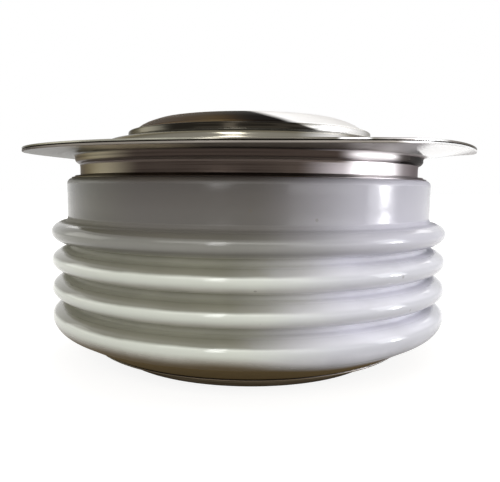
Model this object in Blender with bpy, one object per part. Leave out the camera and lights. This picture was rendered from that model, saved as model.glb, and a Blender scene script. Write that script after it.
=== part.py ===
# Disc thyristor: a press-pack semiconductor, a silicon wafer between two pole pieces in a ribbed ceramic ring.
# Metres, +Z up. The origin is the centre of the lower (anode) contact face. The gate is at the back, on +Y.

from math import cos, pi, radians, sin

import bmesh
import bpy
from mathutils import Matrix, Vector

MM = 0.001

# Driving dimensions of the outside
FLANGE_RADIUS = 28.0 * MM
RIB_RADIUS = 24.9 * MM
BAND_RADIUS = 23.0 * MM
NECK_RADIUS = 21.45 * MM
BEAD_RADIUS = 22.05 * MM
CONTACT_RADIUS = 17.0 * MM
POLE_NECK_RADIUS = 14.9 * MM
LIP_RADIUS = 15.6 * MM
HEIGHT = 29.8 * MM
CERAMIC_BOTTOM = 1.85 * MM
CERAMIC_TOP = 22.25 * MM
LOWEST_RIB = 5.8 * MM
RIB_PITCH = 3.35 * MM
RIB_COUNT = 4
RIB_HALF_HEIGHT = 1.33 * MM
RIB_ROOT_RADIUS = 22.88 * MM
FLANGE_BOTTOM = 25.05 * MM
LIP_TOP = 28.2 * MM

# Driving dimensions of the inside
BORE_RADIUS = 18.6 * MM
WAFER_RADIUS = 16.2 * MM
ANODE_POLE_TOP = 11.0 * MM
GATE_HEIGHT = 19.8 * MM
GATE_BORE_RADIUS = 3.0 * MM
GATE_BORE_TOP = 24.6 * MM
CENTRING_RADIUS = 1.75 * MM
CENTRING_DEPTH = 2.1 * MM

# Driving dimensions of the terminals
TERMINAL_REACH = 36.0 * MM
TERMINAL_WIDTH = 4.75 * MM
TERMINAL_HOLE_RADIUS = 1.1 * MM
AUXILIARY_ANGLE = radians(20)

# Sheet thickness, and the small gap that brazed and stacked pieces keep to each other
SHEET = 0.2 * MM
GAP = 0.1 * MM

# Facets round a full turn
WIDE_STEPS = 48
MIDDLE_STEPS = 40
SMALL_STEPS = 32
TINY_STEPS = 16


def clear_scene():
    for item in list(bpy.data.objects):
        bpy.data.objects.remove(item, do_unlink=True)


def finish(name, color, roughness, metallic=0.0):
    """A plain material for one sub-part."""
    made = bpy.data.materials.new(name)
    made.use_nodes = True
    shader = made.node_tree.nodes["Principled BSDF"]
    shader.inputs["Base Color"].default_value = (*color, 1.0)
    shader.inputs["Roughness"].default_value = roughness
    shader.inputs["Metallic"].default_value = metallic
    return made


def new_object(name, shape, material):
    """Turns a bmesh into a named object that is shaded smooth apart from its sharp edges."""
    mesh = bpy.data.meshes.new(name)
    bmesh.ops.recalc_face_normals(shape, faces=shape.faces)
    shape.to_mesh(mesh)
    shape.free()
    mesh.shade_smooth()
    mesh.set_sharp_from_angle(angle=radians(35))
    mesh.materials.append(material)
    made = bpy.data.objects.new(name, mesh)
    bpy.context.scene.collection.objects.link(made)
    return made


def bow(centre, half, start, end, count):
    """Points of an ellipse arc in the section plane, as (radius, height), from one angle to another."""
    angles = [radians(start + (end - start) * i / count) for i in range(count + 1)]
    return [(centre[0] + half[0] * cos(a), centre[1] + half[1] * sin(a)) for a in angles]


def spun(section, steps):
    """The closed section, points as (radius, height), turned once round the Z axis."""
    shape = bmesh.new()
    corners = [shape.verts.new((radius, 0, height)) for radius, height in section]
    closed = section[0][0] > 0 or section[-1][0] > 0
    edges = [shape.edges.new(pair) for pair in zip(corners, corners[1:])]
    if closed:
        edges.append(shape.edges.new((corners[-1], corners[0])))
    bmesh.ops.spin(
        shape, geom=corners + edges, cent=(0, 0, 0), axis=(0, 0, 1), angle=2 * pi, steps=steps, use_merge=True
    )
    bmesh.ops.remove_doubles(shape, verts=shape.verts, dist=1e-7)
    loose = [edge for edge in shape.edges if not edge.link_faces]
    bmesh.ops.delete(shape, geom=loose, context="EDGES")
    return shape


def turned(name, section, steps, material):
    return new_object(name, spun(section, steps), material)


def ring_section(inner, outer, low, high, edge=0.0):
    """A washer's section, with its outer edges chamfered if edge is given."""
    if not edge:
        return [(inner, low), (outer, low), (outer, high), (inner, high)]
    return [
        (inner, low), (outer - edge, low), (outer, low + edge),
        (outer, high - edge), (outer - edge, high), (inner, high),
    ]


def cutter(name, shape, target):
    """Cuts the shape out of the target with a Boolean, and hides the shape."""
    made = new_object(name, shape, target.data.materials[0])
    made.hide_render = True
    made.display_type = "WIRE"
    cut = target.modifiers.new(name, "BOOLEAN")
    cut.operation = "DIFFERENCE"
    cut.solver = "EXACT"
    cut.object = made
    return made


def box(low, high):
    shape = bmesh.new()
    size = Vector(high) - Vector(low)
    middle = (Vector(high) + Vector(low)) / 2
    bmesh.ops.create_cube(shape, size=1.0, matrix=Matrix.Translation(middle) @ Matrix.Diagonal((*size, 1.0)))
    return shape


def rod(radius, start, end, steps=TINY_STEPS):
    """A closed cylinder from one point to another."""
    shape = bmesh.new()
    run = Vector(end) - Vector(start)
    turn = run.to_track_quat("Z", "Y").to_matrix().to_4x4()
    place = Matrix.Translation((Vector(start) + Vector(end)) / 2) @ turn
    bmesh.ops.create_cone(
        shape, cap_ends=True, segments=steps, radius1=radius, radius2=radius, depth=run.length, matrix=place
    )
    return shape


def laid_along_y(shape, height):
    """Lays a shape that was turned about Z along +Y, at the given height."""
    bmesh.ops.transform(
        shape, matrix=Matrix.Translation((0, 0, height)) @ Matrix.Rotation(-pi / 2, 4, "X"), verts=shape.verts
    )
    return shape


def rib_heights():
    return [LOWEST_RIB + RIB_PITCH * i for i in range(RIB_COUNT)]


def rib_arc(height, start, end, count):
    """Part of one rib's section: half an ellipse that stands out from the root."""
    reach = RIB_RADIUS - RIB_ROOT_RADIUS
    return bow((RIB_ROOT_RADIUS, height), (reach, RIB_HALF_HEIGHT), start, end, count)


def ceramic_housing(material):
    """The glazed ring: a conical foot, four ribs with narrow valleys, and a plain band above them."""
    foot_centre = 21.8 * MM
    foot_half_height = 2.4 * MM
    foot_radius = 20.1 * MM
    valley = RIB_ROOT_RADIUS - 0.2 * MM
    corner = 0.65 * MM
    inner_edge = 0.4 * MM
    ribs = rib_heights()
    section = [(BORE_RADIUS + inner_edge, CERAMIC_BOTTOM), (foot_radius, CERAMIC_BOTTOM)]
    section += bow((foot_centre, ribs[0]), (RIB_RADIUS - foot_centre, foot_half_height), -52, 0, 4)
    section += rib_arc(ribs[0], 30, 90, 2)
    for height in ribs[1:]:
        section.append((valley, height - RIB_PITCH / 2))
        section += rib_arc(height, -90, 90, 6)
    section.append((BAND_RADIUS, ribs[-1] + RIB_HALF_HEIGHT + 0.12 * MM))
    section += bow((BAND_RADIUS - corner, CERAMIC_TOP - corner), (corner, corner), 0, 90, 2)
    section += [
        (BORE_RADIUS + inner_edge, CERAMIC_TOP), (BORE_RADIUS, CERAMIC_TOP - inner_edge),
        (BORE_RADIUS, CERAMIC_BOTTOM + inner_edge),
    ]
    housing = turned("ceramic_housing", section, WIDE_STEPS, material)
    hole = rod(1.2 * MM, (0, BORE_RADIUS - 2 * MM, GATE_HEIGHT), (0, BAND_RADIUS + 2 * MM, GATE_HEIGHT))
    cutter("gate_hole_cutter", hole, housing)
    return housing


def weld_ring(material):
    """The formed ring on the ceramic's top: brazed foot, neck, bead that bulges outwards, and wide flange."""
    foot = CERAMIC_TOP + GAP
    foot_radius = 22.15 * MM
    inner = NECK_RADIUS - 0.45 * MM
    bead_middle = 24.53 * MM
    bead_centre = 21.25 * MM
    bead_half = (BEAD_RADIUS - bead_centre, 0.6 * MM)
    section = [(inner, foot), (foot_radius, foot), (foot_radius, foot + 0.2 * MM)]
    section += bow((foot_radius, foot + 0.9 * MM), (foot_radius - NECK_RADIUS, 0.7 * MM), -90, -180, 3)[1:]
    section += bow((bead_centre, bead_middle), bead_half, -75, 45, 4)
    section += [
        (NECK_RADIUS + 0.5 * MM, FLANGE_BOTTOM), (FLANGE_RADIUS - 0.08 * MM, FLANGE_BOTTOM),
        (FLANGE_RADIUS, FLANGE_BOTTOM + 0.08 * MM), (FLANGE_RADIUS, FLANGE_BOTTOM + SHEET),
        (inner + 0.3 * MM, FLANGE_BOTTOM + SHEET),
    ]
    section += bow((bead_centre - 0.35 * MM, bead_middle), (0.5 * MM, 0.4 * MM), 60, -60, 2)
    section += [(inner, 23.85 * MM)]
    return turned("weld_ring", section, WIDE_STEPS, material)


def lid_flange(material):
    """The upper sheet: flat at the rim with the shallow ring of the cold weld, then a rounded step up to the lip."""
    low = FLANGE_BOTTOM + SHEET + GAP
    high = low + SHEET
    wall = 0.5 * MM
    groove = 25.4 * MM
    depth = 0.06 * MM
    step_top = 27.4 * MM
    upper = [
        (FLANGE_RADIUS, high - 0.08 * MM), (FLANGE_RADIUS - 0.08 * MM, high),
        (groove + 0.5 * MM, high), (groove, high - depth), (groove - 0.5 * MM, high),
        (19.9 * MM, high), (19.2 * MM, high + 0.35 * MM), (18.3 * MM, step_top - 0.8 * MM),
        (17.4 * MM, step_top - 0.32 * MM), (16.0 * MM, step_top), (LIP_RADIUS + 0.06 * MM, step_top + 0.15 * MM),
    ]
    lip = bow((LIP_RADIUS - wall / 2, LIP_TOP - wall / 2), (wall / 2, wall / 2), 0, 180, 3)
    lower = [
        (LIP_RADIUS - wall, step_top - 0.15 * MM), (16.1 * MM, step_top - 0.3 * MM),
        (17.25 * MM, step_top - 0.6 * MM), (18.1 * MM, step_top - 1.05 * MM), (19.1 * MM, high), (19.8 * MM, low),
        (FLANGE_RADIUS, low),
    ]
    return turned("lid_flange", upper + lip + lower, WIDE_STEPS, material)


def pole_face(radius, height, toward):
    """Section points of a flat contact face with its centring hole, from the rim in to the axis."""
    deep = height - toward * CENTRING_DEPTH
    return [(radius, height), (CENTRING_RADIUS, height), (CENTRING_RADIUS, deep), (0.0, deep - toward * 0.5 * MM)]


def cathode_pole_piece(material, low):
    """The upper pole piece: rounded shoulder, neck in the lid's lip, wider body, and the gate's bore and slot."""
    body = 15.4 * MM
    shoulder = 25.0 * MM
    flat = 11.4 * MM
    section = [(0.0, low), (body - 0.4 * MM, low), (body, low + 0.4 * MM), (body, shoulder - 0.6 * MM)]
    section += [
        (POLE_NECK_RADIUS, shoulder), (POLE_NECK_RADIUS, HEIGHT - 1.65 * MM), (14.45 * MM, HEIGHT - 1.24 * MM),
        (13.95 * MM, HEIGHT - 0.88 * MM), (12.93 * MM, HEIGHT - 0.42 * MM), (11.9 * MM, HEIGHT - 0.06 * MM),
    ]
    section += pole_face(flat, HEIGHT, 1)
    pole = turned("cathode_pole_piece", section, MIDDLE_STEPS, material)
    bore = rod(GATE_BORE_RADIUS, (0, 0, low - 1 * MM), (0, 0, GATE_BORE_TOP), SMALL_STEPS)
    cutter("gate_bore_cutter", bore, pole)
    slot = box((-1.25 * MM, 0.5 * MM, low - 1 * MM), (1.25 * MM, body + 2 * MM, GATE_HEIGHT + 1.25 * MM))
    cutter("gate_slot_cutter", slot, pole)
    return pole


def anode_pole_piece(material):
    """The lower pole piece: the contact face, a shoulder for the thin flange, and the body below the wafer."""
    shoulder = CERAMIC_BOTTOM - SHEET - 2 * GAP
    body = 16.4 * MM
    edge = 0.35 * MM
    section = pole_face(CONTACT_RADIUS - edge, 0.0, -1)[::-1]
    section += [
        (CONTACT_RADIUS, edge), (CONTACT_RADIUS, shoulder), (body, shoulder), (body, ANODE_POLE_TOP - edge),
        (body - edge, ANODE_POLE_TOP), (0.0, ANODE_POLE_TOP),
    ]
    return turned("anode_pole_piece", section, MIDDLE_STEPS, material)


def anode_flange(material):
    """The thin ring between the pole's shoulder and the ceramic's bottom face."""
    high = CERAMIC_BOTTOM - GAP
    return turned("anode_flange", ring_section(16.5 * MM, 19.9 * MM, high - SHEET, high), WIDE_STEPS, material)


def silicon_wafer(material, low):
    """The wafer, with its edge bevelled."""
    thick = 0.5 * MM
    section = [(0.0, low), (WAFER_RADIUS, low), (WAFER_RADIUS - 0.6 * MM, low + thick), (0.0, low + thick)]
    return turned("silicon_wafer", section, MIDDLE_STEPS, material)


def disc(name, radius, low, thick, steps, material, hole=0.0, edge=0.0):
    section = ring_section(hole, radius, low, low + thick, edge)
    return turned(name, section, steps, material)


def wafer_edge_seal(material, wafer_low):
    """The rubber moulded over the wafer's bevelled edge, with a rounded crown."""
    outer = 17.3 * MM
    wall = WAFER_RADIUS + GAP
    top = wafer_low + 0.6 * MM
    section = [(wall, wafer_low), (wall, wafer_low - 0.5 * MM), (outer, wafer_low - 0.5 * MM), (outer, top)]
    section += bow((16.2 * MM, top), (outer - 16.2 * MM, 0.45 * MM), 30, 180, 3)
    section += [(wall - 0.6 * MM + GAP, top), (wall, wafer_low + GAP)]
    return turned("wafer_edge_seal", section, MIDDLE_STEPS, material)


def locating_ring(material, low):
    """The plastic ring that keeps the stack and the upper pole piece centred in the bore."""
    outer = BORE_RADIUS - 0.2 * MM
    wall = 17.5 * MM
    lip = 15.6 * MM
    high = low + 5.4 * MM
    shelf = high - 1.0 * MM
    section = [(wall, low), (outer, low), (outer, high), (lip, high), (lip, shelf), (wall, shelf - 0.6 * MM)]
    return turned("locating_ring", section, MIDDLE_STEPS, material)


def gate_contact_pin(material, low):
    """The pin that presses on the middle of the wafer, with the collar that the spring bears on."""
    pin = 0.9 * MM
    collar = 1.9 * MM
    collar_low = GATE_HEIGHT - 0.4 * MM
    collar_high = GATE_HEIGHT + 0.4 * MM
    section = [
        (0.0, low), (pin - 0.2 * MM, low), (pin, low + 0.2 * MM), (pin, collar_low), (collar, collar_low),
        (collar, collar_high), (pin, collar_high), (pin, collar_high + 0.8 * MM), (0.0, collar_high + 0.8 * MM),
    ]
    return turned("gate_contact_pin", section, TINY_STEPS, material)


def gate_spring(material):
    """The helical spring between the pin's collar and the closed end of the insulating cup."""
    wire = 0.22 * MM
    coil = 1.45 * MM
    turns = 5
    low = GATE_HEIGHT + 0.4 * MM + wire + GAP
    high = GATE_BORE_TOP - 1.0 * MM - wire - 2 * GAP
    per_turn = 12
    count = turns * per_turn
    path = bpy.data.curves.new("gate_spring", "CURVE")
    path.dimensions = "3D"
    line = path.splines.new("POLY")
    line.points.add(count)
    for i, point in enumerate(line.points):
        angle = 2 * pi * i / per_turn
        point.co = (coil * cos(angle), coil * sin(angle), low + (high - low) * i / count, 1.0)
    path.bevel_depth = wire
    path.bevel_resolution = 1
    path.use_fill_caps = True
    path.materials.append(material)
    made = bpy.data.objects.new("gate_spring", path)
    bpy.context.scene.collection.objects.link(made)
    return made


def gate_insulator_cup(material, low):
    """The plastic cup, open downwards, that lines the pole's bore, with a slot for the lead."""
    outer = GATE_BORE_RADIUS - GAP
    inner = 2.1 * MM
    top = GATE_BORE_TOP - GAP
    section = [
        (inner, low), (outer, low), (outer, top - 0.3 * MM), (outer - 0.3 * MM, top), (0.0, top),
        (0.0, top - 0.9 * MM), (inner, top - 0.9 * MM),
    ]
    cup = turned("gate_insulator_cup", section, SMALL_STEPS, material)
    slot = box((-1.1 * MM, 0.8 * MM, low - 1 * MM), (1.1 * MM, outer + 1 * MM, GATE_HEIGHT + 1.1 * MM))
    cutter("cup_slot_cutter", slot, cup)
    return cup


def gate_lead(material):
    start = (0, 2.0 * MM, GATE_HEIGHT)
    return new_object("gate_lead", rod(0.4 * MM, start, (0, 27.0 * MM, GATE_HEIGHT), 12), material)


def sleeve(name, inner, outer, start, end, steps, material):
    """A straight tube along +Y at the gate's height."""
    shape = laid_along_y(spun(ring_section(inner, outer, start, end), steps), GATE_HEIGHT)
    return new_object(name, shape, material)


def rounded_tab(root, neck, tip, thick):
    """A flat tab along +Y that widens from its neck, with a round end, as a closed plate about z = 0."""
    half = TERMINAL_WIDTH / 2
    outline = [(-neck, root), (neck, root), (neck, root + 1.2 * MM), (half, root + 2.4 * MM)]
    outline += [
        (half * cos(radians(a)), tip - half + half * sin(radians(a))) for a in range(0, 181, 20)
    ]
    outline += [(-half, root + 2.4 * MM), (-neck, root + 1.2 * MM)]
    shape = bmesh.new()
    face = shape.faces.new([shape.verts.new((x, y, -thick / 2)) for x, y in outline])
    up = bmesh.ops.extrude_face_region(shape, geom=[face])
    lifted = [item for item in up["geom"] if isinstance(item, bmesh.types.BMVert)]
    bmesh.ops.translate(shape, vec=(0, 0, thick), verts=lifted)
    return shape


def tab_hole(thick):
    middle = TERMINAL_REACH - TERMINAL_WIDTH / 2
    return rod(TERMINAL_HOLE_RADIUS, (0, middle, -2 * thick), (0, middle, 2 * thick), 20)


def gate_terminal(material):
    """The flat terminal with the barrel that is crimped on the tube's end."""
    thick = 0.8 * MM
    outer = 1.65 * MM
    bore = 1.15 * MM
    edge = 0.2 * MM
    start = 24.2 * MM
    bottom = 27.2 * MM
    end = 28.2 * MM
    blade = rounded_tab(27.6 * MM, 1.1 * MM, TERMINAL_REACH, thick)
    hole = tab_hole(thick)
    for shape in (blade, hole):
        bmesh.ops.translate(shape, vec=(0, 0, GATE_HEIGHT), verts=shape.verts)
    terminal = new_object("gate_terminal", blade, material)
    cutter("gate_tab_hole_cutter", hole, terminal)
    cup = [
        (0.0, bottom), (bore, bottom), (bore, start), (outer - edge, start), (outer, start + edge),
        (outer, end - edge), (outer - edge, end), (0.0, end),
    ]
    barrel = new_object("barrel_helper", laid_along_y(spun(cup, 20), GATE_HEIGHT), material)
    barrel.hide_render = True
    barrel.display_type = "WIRE"
    join = terminal.modifiers.new("barrel", "BOOLEAN")
    join.operation = "UNION"
    join.solver = "EXACT"
    join.object = barrel
    return terminal


def auxiliary_cathode_terminal(material):
    """The flat tab welded on the lid flange, turned away from the gate by the standard angle."""
    thick = 0.5 * MM
    place = Matrix.Rotation(AUXILIARY_ANGLE, 4, "Z") @ Matrix.Translation(
        (0, 0, FLANGE_BOTTOM + 2 * SHEET + 2 * GAP + thick / 2)
    )
    tab = rounded_tab(26.2 * MM, TERMINAL_WIDTH / 2 - 0.4 * MM, TERMINAL_REACH, thick)
    hole = tab_hole(thick)
    for shape in (tab, hole):
        bmesh.ops.transform(shape, matrix=place, verts=shape.verts)
    made = new_object("auxiliary_cathode_terminal", tab, material)
    cutter("auxiliary_hole_cutter", hole, made)
    return made


def main():
    clear_scene()
    glaze = finish("glazed_alumina", (0.74, 0.73, 0.71), 0.22)
    nickel = finish("nickel_plate", (0.47, 0.44, 0.39), 0.28, 1.0)
    dull_nickel = finish("worn_nickel", (0.34, 0.3, 0.25), 0.38, 1.0)
    molybdenum = finish("molybdenum", (0.4, 0.4, 0.42), 0.45, 1.0)
    silver = finish("silver", (0.8, 0.79, 0.76), 0.3, 1.0)
    silicon = finish("silicon", (0.12, 0.13, 0.16), 0.15, 0.6)
    rubber = finish("silicone_rubber", (0.5, 0.5, 0.48), 0.6)
    plastic = finish("white_plastic", (0.7, 0.7, 0.66), 0.5)
    spring_steel = finish("spring_steel", (0.45, 0.45, 0.46), 0.3, 1.0)
    tinned = finish("tinned_brass", (0.6, 0.58, 0.52), 0.35, 1.0)

    ceramic_housing(glaze)
    weld_ring(nickel)
    lid_flange(nickel)
    anode_pole_piece(dull_nickel)
    anode_flange(dull_nickel)

    foil = 0.15 * MM
    anode_foil_low = ANODE_POLE_TOP + GAP
    anode_disc_low = anode_foil_low + foil + GAP
    wafer_low = anode_disc_low + 2.0 * MM + GAP
    cathode_foil_low = wafer_low + 0.5 * MM + GAP
    cathode_disc_low = cathode_foil_low + foil + GAP
    cathode_low = cathode_disc_low + 1.2 * MM + GAP
    gate_window = 2.6 * MM

    disc("anode_silver_foil", 15.6 * MM, anode_foil_low, foil, SMALL_STEPS, silver)
    disc("anode_molybdenum_disc", 16.1 * MM, anode_disc_low, 2.0 * MM, MIDDLE_STEPS, molybdenum, edge=0.2 * MM)
    silicon_wafer(silicon, wafer_low)
    wafer_edge_seal(rubber, wafer_low)
    disc("cathode_silver_foil", 13.9 * MM, cathode_foil_low, foil, SMALL_STEPS, silver, hole=gate_window)
    disc(
        "cathode_molybdenum_disc", 14.0 * MM, cathode_disc_low, 1.2 * MM, SMALL_STEPS, molybdenum,
        hole=gate_window, edge=0.2 * MM,
    )
    locating_ring(plastic, ANODE_POLE_TOP - 0.5 * MM)
    cathode_pole_piece(dull_nickel, cathode_low)

    gate_contact_pin(silver, cathode_foil_low)
    disc("gate_guide_washer", gate_window - GAP, cathode_disc_low, 1.1 * MM, TINY_STEPS, plastic, hole=1.1 * MM)
    gate_spring(spring_steel)
    gate_insulator_cup(plastic, cathode_low + GAP)
    gate_lead(silver)
    sleeve("gate_lead_sleeve", 0.5 * MM, 0.95 * MM, 3.3 * MM, 18.0 * MM, 12, plastic)
    sleeve("gate_tube", 0.65 * MM, 1.05 * MM, 18.3 * MM, 27.1 * MM, 20, nickel)
    collar_start = BAND_RADIUS + 0.15 * MM
    sleeve("gate_tube_collar", 1.15 * MM, 2.0 * MM, collar_start, collar_start + 0.4 * MM, TINY_STEPS, nickel)
    gate_terminal(tinned)
    auxiliary_cathode_terminal(tinned)


main()
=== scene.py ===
from math import atan2, cos, exp, pi, radians, sin

import bmesh
import bpy
from mathutils import Matrix, Vector


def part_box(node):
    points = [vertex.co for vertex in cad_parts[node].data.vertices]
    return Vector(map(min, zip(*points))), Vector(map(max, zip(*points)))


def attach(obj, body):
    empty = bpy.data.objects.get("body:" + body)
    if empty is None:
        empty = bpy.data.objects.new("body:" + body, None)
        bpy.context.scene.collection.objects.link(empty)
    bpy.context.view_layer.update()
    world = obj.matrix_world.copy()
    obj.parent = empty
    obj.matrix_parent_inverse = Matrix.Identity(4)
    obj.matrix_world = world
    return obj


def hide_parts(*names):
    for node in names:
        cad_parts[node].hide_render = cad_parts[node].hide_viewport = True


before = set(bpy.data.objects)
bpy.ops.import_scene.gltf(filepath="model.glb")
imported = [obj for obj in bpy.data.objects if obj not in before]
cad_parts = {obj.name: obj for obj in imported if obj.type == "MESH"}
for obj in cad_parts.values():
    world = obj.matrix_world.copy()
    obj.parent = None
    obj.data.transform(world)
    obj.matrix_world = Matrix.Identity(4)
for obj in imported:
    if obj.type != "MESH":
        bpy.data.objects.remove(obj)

# Disc thyristor. The part's sizes are in millimetres, and are multiplied by mm where a mesh is made.
# The studio's distances are in metres.
mm = 0.001
turnSteps = 192                    # facets round the large turned pieces
weldGap = 0.0002                   # vertices closer than this are merged
smoothAngle = 38                   # degrees: faces that meet at more than this keep a sharp edge
overcut = 2                        # how far a cutting shape stands out of the piece
firstRib, ribPitch = 5.8, 3.35     # height of the lowest rib's crest, and from crest to crest
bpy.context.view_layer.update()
print("frame loaded:", len(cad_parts), "nodes")


def feed(tree, node, inputs):
    # links each input to another node's output, or sets it to a plain value
    for key, value in inputs.items():
        if isinstance(value, bpy.types.NodeSocket):
            tree.links.new(value, node.inputs[key])
        else:
            node.inputs[key].default_value = value
    return node


def addNode(tree, kind, settings=None, inputs=None):
    node = tree.nodes.new(kind)
    for key, value in (settings or {}).items():
        setattr(node, key, value)
    return feed(tree, node, inputs or {})


def calc(tree, operation, a, b=0.0, c=0.0):
    return addNode(tree, "ShaderNodeMath", {"operation": operation}, {0: a, 1: b, 2: c}).outputs[0]


def scaled(tree, value, times, plus):
    return calc(tree, "MULTIPLY_ADD", value, times, plus)


def product(tree, value, *others):
    for other in others:
        value = calc(tree, "MULTIPLY", value, other)
    return value


def ramp(tree, value, low, high, start=0.0, end=1.0):
    # a smooth step from start to end while the value goes from low to high
    return addNode(
        tree, "ShaderNodeMapRange", {"interpolation_type": "SMOOTHSTEP"},
        {"Value": value, "From Min": low, "From Max": high, "To Min": start, "To Max": end},
    ).outputs["Result"]


def mixColor(tree, factor, a, b):
    # a and b are plain colours, or outputs that give one
    a, b = (value if isinstance(value, bpy.types.NodeSocket) else (*value, 1.0) for value in (a, b))
    settings = {"data_type": "RGBA", "blend_type": "MIX", "clamp_factor": True}
    return addNode(tree, "ShaderNodeMix", settings, {0: factor, 6: a, 7: b}).outputs[2]


def newGroup(name, inputs, outputs):
    # a shader node group with named sockets; returns the group, its input node and its output node
    group = bpy.data.node_groups.new(name, "ShaderNodeTree")
    for label, kind, value in inputs:
        socket = group.interface.new_socket(label, in_out="INPUT", socket_type=kind)
        if value is not None:
            socket.default_value = value
    for label, kind in outputs:
        group.interface.new_socket(label, in_out="OUTPUT", socket_type=kind)
    return group, group.nodes.new("NodeGroupInput"), group.nodes.new("NodeGroupOutput")


def useGroup(tree, group, inputs):
    node = tree.nodes.new("ShaderNodeGroup")
    node.node_tree = group
    return feed(tree, node, inputs).outputs


def makeTurnedPlace():
    # where a point is on a turned part: radius, height and sideways distance in millimetres, the way it
    # faces, from -1 to 1, and a place for marks that follow the turn
    group, given, result = newGroup(
        "turnedPlace", [("Place", "NodeSocketVector", None)],
        [("Radius", "NodeSocketFloat"), ("Height", "NodeSocketFloat"), ("Right", "NodeSocketFloat"),
         ("Front", "NodeSocketFloat"), ("Aside", "NodeSocketFloat"), ("Streak", "NodeSocketVector")],
    )
    heightShare = 1.37      # an odd share, so that marks on a wall don't repeat those on a flat face
    xyz = addNode(group, "ShaderNodeSeparateXYZ", None, {0: given.outputs["Place"]}).outputs
    flat = addNode(group, "ShaderNodeCombineXYZ", None, {0: xyz[0], 1: xyz[1]}).outputs[0]
    length = addNode(group, "ShaderNodeVectorMath", {"operation": "LENGTH"}, {0: flat}).outputs["Value"]
    facing = addNode(group, "ShaderNodeVectorMath", {"operation": "NORMALIZE"}, {0: flat}).outputs["Vector"]
    toward = addNode(group, "ShaderNodeSeparateXYZ", None, {0: facing}).outputs
    radius = calc(group, "MULTIPLY", length, 1 / mm)
    height = calc(group, "MULTIPLY", xyz[2], 1 / mm)
    along = calc(group, "ADD", radius, calc(group, "MULTIPLY", height, heightShare))
    streak = addNode(group, "ShaderNodeCombineXYZ", None, {0: toward[0], 1: toward[1], 2: along}).outputs[0]
    feed(group, result, {
        "Radius": radius, "Height": height, "Right": toward[0],
        "Front": calc(group, "MULTIPLY", toward[1], -1.0),
        "Aside": calc(group, "MULTIPLY", xyz[0], 1 / mm), "Streak": streak,
    })
    return group


def makeMottle():
    # soft patches: a noise whose middle part is stretched to 0..1
    group, given, result = newGroup(
        "mottle",
        [("Place", "NodeSocketVector", None), ("Scale", "NodeSocketFloat", 200.0),
         ("Low", "NodeSocketFloat", 0.35), ("High", "NodeSocketFloat", 0.65)],
        [("Mask", "NodeSocketFloat")],
    )
    take = given.outputs
    noise = {"Vector": take["Place"], "Scale": take["Scale"], "Detail": 4.0}
    noise = addNode(group, "ShaderNodeTexNoise", None, noise).outputs["Fac"]
    feed(group, result, {"Mask": ramp(group, noise, take["Low"], take["High"])})
    return group


def makeLatheMarks():
    # fine rings left by turning or spinning, longer along the turn than across it
    group, given, result = newGroup(
        "latheMarks",
        [("Streak", "NodeSocketVector", None), ("Round", "NodeSocketFloat", 1.5),
         ("Across", "NodeSocketFloat", 6.0)],
        [("Marks", "NodeSocketFloat")],
    )
    take = given.outputs
    stretch = {0: take["Round"], 1: take["Round"], 2: take["Across"]}
    stretch = addNode(group, "ShaderNodeCombineXYZ", None, stretch).outputs[0]
    place = {0: take["Streak"], 1: stretch}
    place = addNode(group, "ShaderNodeVectorMath", {"operation": "MULTIPLY"}, place).outputs["Vector"]
    noise = {"Vector": place, "Scale": 1.0, "Detail": 3.0}
    feed(group, result, {"Marks": addNode(group, "ShaderNodeTexNoise", None, noise).outputs["Fac"]})
    return group


turnedPlace = makeTurnedPlace()
mottle = makeMottle()
latheMarks = makeLatheMarks()


def startMaterial(name, roughness, metallic=0.0):
    # returns the material, its tree, its shader and the object coordinates
    made = bpy.data.materials.new(name)
    made.use_nodes = True
    tree = made.node_tree
    shader = feed(tree, tree.nodes["Principled BSDF"], {"Roughness": roughness, "Metallic": metallic})
    return made, tree, shader, tree.nodes.new("ShaderNodeTexCoord").outputs["Object"]


def patches(tree, place, scale, low, high):
    return useGroup(tree, mottle, {"Place": place, "Scale": scale, "Low": low, "High": high})["Mask"]


def grain(tree, place, scale):
    noise = {"Vector": place, "Scale": scale, "Detail": 2.0}
    return addNode(tree, "ShaderNodeTexNoise", None, noise).outputs["Fac"]


def bump(tree, shader, height, strength, depth):
    made = {"Height": height, "Strength": strength, "Distance": depth * mm}
    feed(tree, shader, {"Normal": addNode(tree, "ShaderNodeBump", None, made).outputs["Normal"]})


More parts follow.
